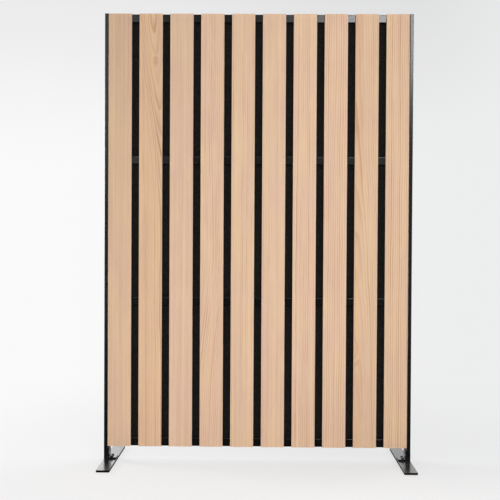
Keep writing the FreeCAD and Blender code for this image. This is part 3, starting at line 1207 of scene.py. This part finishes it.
@dataclass(frozen=True)
class Foot:
    """One foot: the flat bar with its pads, and the angle that is bolted to it and to the upright.

    Attributes:
        side: The side of the screen.
        coat: The finish of the foot plate and the angle.
        bolt_coat: The finish of bolts and washers.
        rubber: The finish of the pads.
        soft_edge: How far the angle's edges are eased.
        bolt_spacing, bolt_radius: The distance between the bolts, and their shanks' radius.
        head_width, head_rim: The width of the bolts' heads across flats, and their small steps.
    """

    side: Side
    coat: PowderCoat
    bolt_coat: PowderCoat
    rubber: Rubber
    soft_edge: float = 0.0006
    bolt_spacing: float = 0.030
    bolt_radius: float = 0.003
    head_width: float = 0.010
    head_rim: float = 0.00025

    # The bolts' forms, as shares of the shank's radius and of half the head's width.
    SHANK_END = 0.8
    FACE = 0.93
    CROWN = 0.95
    CORNER = 1.135
    CHAMFER = math.tan(math.radians(28.0))
    HEAD_POINTS = 72

    # Where the flats of the heads begin and end, in steps from the face below and from the top.
    FLATS_FROM = 1.6
    FLATS_TO = 1 / 3

    # The dished top of the heads, as shares of the crown's radius and steps down.
    TOP = ((1.0, 0.25), (0.97, 0.0), (0.72, 0.0), (0.66, 1.0), (0.1, 1.0))

    # The washers' holes and edges, and the turn of the bolts at each end and on each side.
    WASHER_HOLE = 1.05
    WASHER_ROUND = 0.22
    END_TURN = 0.35
    SIDE_TURN = 0.2

    EDGE_STEPS = 3
    EDGE_ANGLE = math.radians(40.0)

    def hexagon(self, grow: float, level: float, slope: float = 0.0) -> Ring:
        """A hexagon with cut corners around the Z axis.

        Args:
            grow: How much larger it is than the bolt's head.
            level: Its height at the crown's radius.
            slope: How steeply it falls outside that radius.

        Returns:
            Its points, anticlockwise seen from above.
        """
        flat, sixth = self.head_width / 2, math.pi / 3
        ring = []
        for i in range(self.HEAD_POINTS):
            turn = 2 * math.pi * i / self.HEAD_POINTS
            radius = (flat + grow) / math.cos((turn + sixth / 2) % sixth - sixth / 2)
            radius = min(radius, flat * self.CORNER + grow)
            height = level - (radius - flat * self.CROWN) * slope
            ring.append(Vector((radius * math.cos(turn), radius * math.sin(turn), height)))
        return ring

    def bolt(self, head_height: float, shank_length: float) -> Shape:
        """Builds one hexagon bolt, with its head standing on Z 0.

        Args:
            head_height: The height of the head.
            shank_length: The length under the head.

        Returns:
            The bolt's shape.
        """
        rim, shank = self.head_rim, self.bolt_radius
        face, crown = self.head_width / 2 * self.FACE, self.head_width / 2 * self.CROWN
        below = [
            (shank * self.SHANK_END, -shank_length),
            (shank, shank * (1 - self.SHANK_END) - shank_length),
            (shank, 0.0),
            (face, 0.0),
            (face, rim),
        ]
        head = [
            self.hexagon(-rim / 2, rim),
            self.hexagon(0.0, rim * self.FLATS_FROM),
            self.hexagon(0.0, head_height - rim * self.FLATS_TO, self.CHAMFER),
            self.hexagon(-rim / 2, head_height, self.CHAMFER),
        ]
        above = [(crown * share, head_height - rim * down) for share, down in self.TOP]
        points = self.HEAD_POINTS
        return Shape().loft(turned(below, points) + head + turned(above, points))

    def build(self) -> None:
        """Makes and dresses the foot."""
        word, sign = self.side.word, self.side.value
        dress_node(f"foot_plate_{word}", self.coat)
        dress_node(f"foot_angle_{word}", self.coat)
        dress_node(f"angle_bolts_{word}", self.bolt_coat)
        dress_node(f"foot_pads_{word}", self.rubber)
        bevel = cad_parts[f"foot_angle_{word}"].modifiers.new("eased_edges", "BEVEL")
        bevel.width = self.soft_edge
        bevel.segments = self.EDGE_STEPS
        bevel.limit_method = "ANGLE"
        bevel.angle_limit = self.EDGE_ANGLE
        bevel.use_clamp_overlap = True

        washer_node, bolt_node = f"foot_washers_{word}", f"foot_bolts_{word}"
        washer_box, bolt_box = Box.of_node(washer_node), Box.of_node(bolt_node)
        thickness, seat = 2 * washer_box.half.z, washer_box.high.z
        hole, soft = self.bolt_radius * self.WASHER_HOLE, thickness * self.WASHER_ROUND
        washer = plain_washer(hole, washer_box.half.x, thickness, soft)
        bolt = self.bolt(bolt_box.high.z - seat, seat - bolt_box.low.z)
        places = [(end, washer_box.middle.x, end * self.bolt_spacing / 2) for end in (-1, 1)]
        washers = washer.copies([Matrix.Translation((x, y, washer_box.low.z)) for _, x, y in places])
        bolts = bolt.copies([
            Matrix.Translation((x, y, seat))
            @ Matrix.Rotation(self.END_TURN * end + self.SIDE_TURN * sign, 4, "Z")
            for end, x, y in places
        ])
        add_fasteners(washers, f"plain_washers_{word}", washer_node, self.bolt_coat)
        add_fasteners(bolts, f"hex_bolts_{word}", bolt_node, self.bolt_coat)


@dataclass(frozen=True)
class Softbox:
    """A soft studio lamp.

    Attributes:
        name: The lamp's name.
        place, aim: Where it stands and what it points at.
        width, height: The sizes of its face.
        radiance: How bright its face is, where 1 is a white surface.
    """

    name: str
    place: Place
    aim: Place
    width: float
    height: float
    radiance: float

    def build(self) -> None:
        """Sets up the lamp, which the camera doesn't see."""
        light = bpy.data.lights.new(self.name, "AREA")
        light.shape = "RECTANGLE"
        light.size, light.size_y = self.width, self.height
        light.energy = self.radiance * math.pi * self.width * self.height
        lamp = bpy.data.objects.new(self.name, light)
        lamp.location = self.place
        direction = Vector(self.aim) - Vector(self.place)
        lamp.rotation_euler = direction.to_track_quat("-Z", "Y").to_euler()
        lamp.visible_camera = False
        bpy.context.scene.collection.objects.link(lamp)


@dataclass(frozen=True)
class Studio:
    """The pale floor and backdrop, a dark cloth, the lamps and the camera.

    Attributes:
        softboxes: The lamps.
        ambient: The level of the light from all round.
        floor_radius, floor_thickness: The sizes of the floor.
        cloth_half_width, cloth_height, cloth_thickness: The sizes of the cloth.
        cloth_front, cloth_back: The Y at which it hangs in front, and to which it lies on the floor.
        camera_place: Where the camera stands.
        camera_turn, camera_roll: How far it turns and leans to the left, in degrees.
        camera_tilt: How far it looks up, in degrees.
        lens, sensor: Its focal length and the width of its sensor, in millimetres.
    """

    softboxes: Sequence[Softbox]
    ambient: float = 0.30
    floor_radius: float = 14.0
    floor_thickness: float = 0.05
    cloth_half_width: float = 7.0
    cloth_height: float = 7.0
    cloth_thickness: float = 0.0004
    cloth_front: float = -6.5
    cloth_back: float = 0.26
    camera_place: Place = (0.0159, -3.7646, 0.8923)
    camera_turn: float = 0.7172
    camera_roll: float = 0.2986
    camera_tilt: float = -0.9280
    lens: float = 69.047
    sensor: float = 36.0

    WHITE = (1.0, 1.0, 1.0)
    FLOOR = (0.90, 0.90, 0.905)
    # Painted light and shade on the near floor: lighter on the left and in front than on the right.
    FLOOR_FRONT = (0.985, 0.985, 0.985)
    FLOOR_LEFT = (1.0, 1.0, 1.0)
    FLOOR_RIGHT = (0.892, 0.895, 0.900)
    BACKDROP_LEFT = (0.95, 0.95, 0.95)
    BACKDROP_RIGHT = (0.85, 0.853, 0.858)
    CLOTH = (0.02, 0.02, 0.02)
    CLOTH_HIDDEN_FROM = ("camera", "diffuse", "shadow", "transmission", "volume_scatter")
    FLOOR_POINTS = 96

    # How white the near floor is shown, where it fades into the backdrop, and where its front ends.
    SHOWN_WHITE = 0.68
    FADE = (0.9, 2.6)
    FRONT = (-0.6, 0.2)
    VIEW_DISTANCE = 3.5

    # Painted light and shade on the backdrop: how it changes from left to right, and darkens upwards,
    # less so on the right.
    SIDES = (-0.22, 0.22)
    UPWARDS = (0.06, 0.26)
    DARKENED = 0.13
    ON_THE_RIGHT = (0.14, 0.27)
    SPARED = 0.7

    def seen(self, graph: Graph) -> Signal:
        """Tells what is looked at from light that falls on things.

        Args:
            graph: The graph of the floor or of the world.

        Returns:
            1 for what the camera, a gloss or a clear surface shows, and 0 for other light.
        """
        node = graph.add("ShaderNodeLightPath")
        camera, glossy, clear = (
            Signal(graph, node.outputs[f"Is {ray} Ray"]) for ray in ("Camera", "Glossy", "Transmission")
        )
        return camera.most(glossy).most(clear)

    def backdrop(self, graph: Graph, across: Signal) -> Signal:
        """The backdrop's colour, with painted light that makes it a little brighter on the left."""
        return graph.mix(across.ramp(*self.SIDES), self.BACKDROP_LEFT, self.BACKDROP_RIGHT)

    def build_world(self) -> None:
        """Sets up a pale backdrop to look at, with painted light and shade on it, and a soft light from
        all round.
        """
        world = bpy.data.worlds.new("studio")
        bpy.context.scene.world = world
        graph = Graph(world)
        across, _, up = graph.value("ShaderNodeTexCoord", "Generated").parts()
        spared = self.SPARED * across.ramp(*self.ON_THE_RIGHT)
        # Painted shade: the backdrop darkens upward, less so on the right.
        darker = self.DARKENED * up.ramp(*self.UPWARDS) * (1.0 - spared)
        colour = graph.shade(self.backdrop(graph, across), 1.0 - darker)
        shown, light = (
            graph.value("ShaderNodeBackground", 0, {"Color": tint, "Strength": strength})
            for tint, strength in ((colour, 1.0), (self.WHITE, self.ambient))
        )
        graph.close(graph.mix_shaders(self.seen(graph), light, shown), "ShaderNodeOutputWorld")

    def build_floor(self) -> None:
        """Lays the floor, which keeps the object's shadow, carries painted light and shade from side to
        side, and fades into the backdrop.
        """
        profile = [(self.floor_radius, level) for level in (-self.floor_thickness, 0.0)]
        floor = Shape().loft(turned(profile, self.FLOOR_POINTS)).build("floor", Vector())
        material = bpy.data.materials.new("pale_floor")
        graph = Graph(material)
        x, y, _ = graph.place().parts()
        away = (x * x + y * y).root()
        far = away.ramp(*self.FADE)
        across = x / (away + self.VIEW_DISTANCE)
        # Painted light and shade: the near floor is lighter on the left and in front, and darker on the
        # right.
        sides = graph.mix(across.ramp(*self.SIDES), self.FLOOR_LEFT, self.FLOOR_RIGHT)
        near = graph.mix(y.ramp(*self.FRONT), self.FLOOR_FRONT, sides)
        colour = graph.mix(far, near, self.backdrop(graph, across))
        plain = graph.value("ShaderNodeBsdfDiffuse", 0, {"Color": self.FLOOR})
        white = graph.value("ShaderNodeEmission", 0, {"Color": colour, "Strength": 1.0})
        shown = self.seen(graph) * (self.SHOWN_WHITE + (1.0 - self.SHOWN_WHITE) * far)
        graph.close(graph.mix_shaders(shown, plain, white))
        floor.data.materials.append(material)

    def build_cloth(self) -> None:
        """Lays and hangs a dark cloth round the front, seen only in gloss, so that black stays black."""
        half, thin = self.cloth_half_width, self.cloth_thickness
        front, back = self.cloth_front, self.cloth_back
        laid = [(-half, back), (-half, front), (half, front), (half, back)]
        hung = laid + [(x * (1 - thin), max(y, front * (1 - thin))) for x, y in reversed(laid)]
        shape = Shape()
        for outline, top in ((hung, self.cloth_height), (laid, 2 * thin)):
            shape.loft([[Vector((x, y, z)) for x, y in outline] for z in (thin, top)])
        cloth = shape.build("dark_cloth", Vector())
        for ray in self.CLOTH_HIDDEN_FROM:
            setattr(cloth, f"visible_{ray}", False)
        material = bpy.data.materials.new("dark_cloth")
        matt = {"Base Color": self.CLOTH, "Roughness": 1.0, "Specular IOR Level": 0.0}
        Graph(material).surface(matt)
        cloth.data.materials.append(material)

    def build_camera(self) -> None:
        """Sets up the camera at the photograph's viewing angle."""
        data = bpy.data.cameras.new("camera")
        data.sensor_width = self.sensor
        data.lens = self.lens
        camera = bpy.data.objects.new("camera", data)
        bpy.context.scene.collection.objects.link(camera)
        # A camera looks straight down until it is raised by a quarter turn.
        camera.matrix_world = (
            Matrix.Translation(self.camera_place)
            @ Matrix.Rotation(math.radians(self.camera_turn), 4, "Z")
            @ Matrix.Rotation(QUARTER_TURN + math.radians(self.camera_tilt), 4, "X")
            @ Matrix.Rotation(math.radians(self.camera_roll), 4, "Z")
        )
        bpy.context.scene.camera = camera

    def build(self) -> None:
        """Sets up the whole studio."""
        bpy.context.scene.view_settings.view_transform = "Standard"
        self.build_world()
        self.build_floor()
        self.build_cloth()
        for softbox in self.softboxes:
            softbox.build()
        self.build_camera()
        log.info("set up the studio")


# The fade of each board is painted shade and light along its length.
TIMBERS = (
    Timber(
        seed=1, pith_across=0.30, pith_behind=0.05, year=0.0056, figure=0.60, warmth=0.35,
        ripe=0.25, tone=0.962, fade=-0.07,
    ),
    Timber(
        seed=2, pith_across=0.064, pith_behind=0.058, year=0.0045, figure=1.0, warmth=0.50,
        ripe=0.50, tone=1.032, fade=-0.04, lean_across=-0.061, lean_behind=-0.034, bend_from=0.9,
        bend_to=1.8, broken=0.5, knot=Knot(across=0.018, along=1.507, rings=3.0, heart=0.55),
    ),
    Timber(
        seed=3, pith_across=-0.28, pith_behind=0.04, year=0.0060, figure=0.65, warmth=0.20,
        tone=1.015, fade=-0.05,
    ),
    Timber(
        seed=4, pith_across=0.14, pith_behind=0.03, year=0.0074, figure=1.0, warmth=0.30,
        tone=1.052, fade=-0.025, lean_across=0.10, bend_from=0.2, bend_to=0.8, wander=0.014,
    ),
    Timber(
        seed=5, pith_across=-0.24, pith_behind=0.06, year=0.0066, figure=0.75, warmth=0.40,
        ripe=0.06, tone=1.045, fade=-0.03,
    ),
    Timber(
        seed=6, pith_across=0.26, pith_behind=0.05, year=0.0060, figure=0.66, warmth=0.30,
        tone=1.04, fade=-0.025,
    ),
    Timber(seed=7, pith_across=-0.11, pith_behind=0.03, year=0.0072, figure=1.0, warmth=0.30, tone=1.06),
    Timber(
        seed=8, pith_across=0.34, pith_behind=0.01, year=0.0092, figure=1.0, warmth=0.30,
        tone=1.05, wander=0.005, broken=0.4,
    ),
    Timber(
        seed=9, pith_across=-0.032, pith_behind=0.050, year=0.0052, figure=0.9, warmth=0.45,
        ripe=0.16, heartwood=0.6, lean_across=-0.01, lean_behind=0.020, wander=0.014,
        knot=Knot(across=-0.050, along=0.385, rings=2.2, half_width=0.024, half_length=0.055),
    ),
    Timber(
        seed=10, pith_across=0.38, pith_behind=0.01, year=0.0084, figure=1.0, warmth=0.50,
        ripe=0.12, tone=1.012, fade=0.015, wander=0.004, broken=0.35,
    ),
)

SOFTBOXES = (
    Softbox("key_right", (2.7, -3.1, 0.7), (0.2, 0.0, 0.8), 1.6, 1.6, 6.38),
    Softbox("fill_left", (-2.6, -3.1, 0.35), (-0.2, 0.0, 0.7), 1.6, 1.4, 6.85),
    Softbox("top_right", (0.93, -3.7, 2.55), (0.3, 0.0, 1.2), 0.7, 1.0, 9.5),
    Softbox("card_left", (-1.07, -3.7, 2.1), (-0.5, 0.0, 1.2), 0.3, 1.5, 1.8),
    Softbox("overhead", (0.0, 0.35, 3.6), (0.0, 0.35, 0.0), 1.6, 0.7, 6.0),
    Softbox("side_left", (-4.2, 1.5, 1.5), (0.0, -0.3, 0.1), 1.2, 1.2, 18.0),
    Softbox("back_left", (-1.8, 3.8, 1.7), (0.0, 0.0, 0.7), 1.6, 1.6, 1.0),
    Softbox("back_right", (2.6, 2.4, 2.3), (0.0, 0.0, 0.9), 1.4, 1.4, 4.5),
)


def main() -> None:
    """Builds the sub-assemblies and the studio in order."""
    logging.basicConfig(level=logging.INFO, format="%(name)s: %(message)s")
    coat = PowderCoat()
    fastener_coat = PowderCoat(roughness=0.27, wear=0.0, dust=0.2)
    zinc, rubber = ZincPlate(), Rubber()
    Slats(TIMBERS).build()
    SteelFrame(coat, fastener_coat, zinc).build()
    FeltBack(PressedFelt(), fastener_coat).build()
    for side in Side:
        Foot(side, coat, fastener_coat, rubber).build()
    Studio(SOFTBOXES).build()


if __name__ == "__main__":
    main()
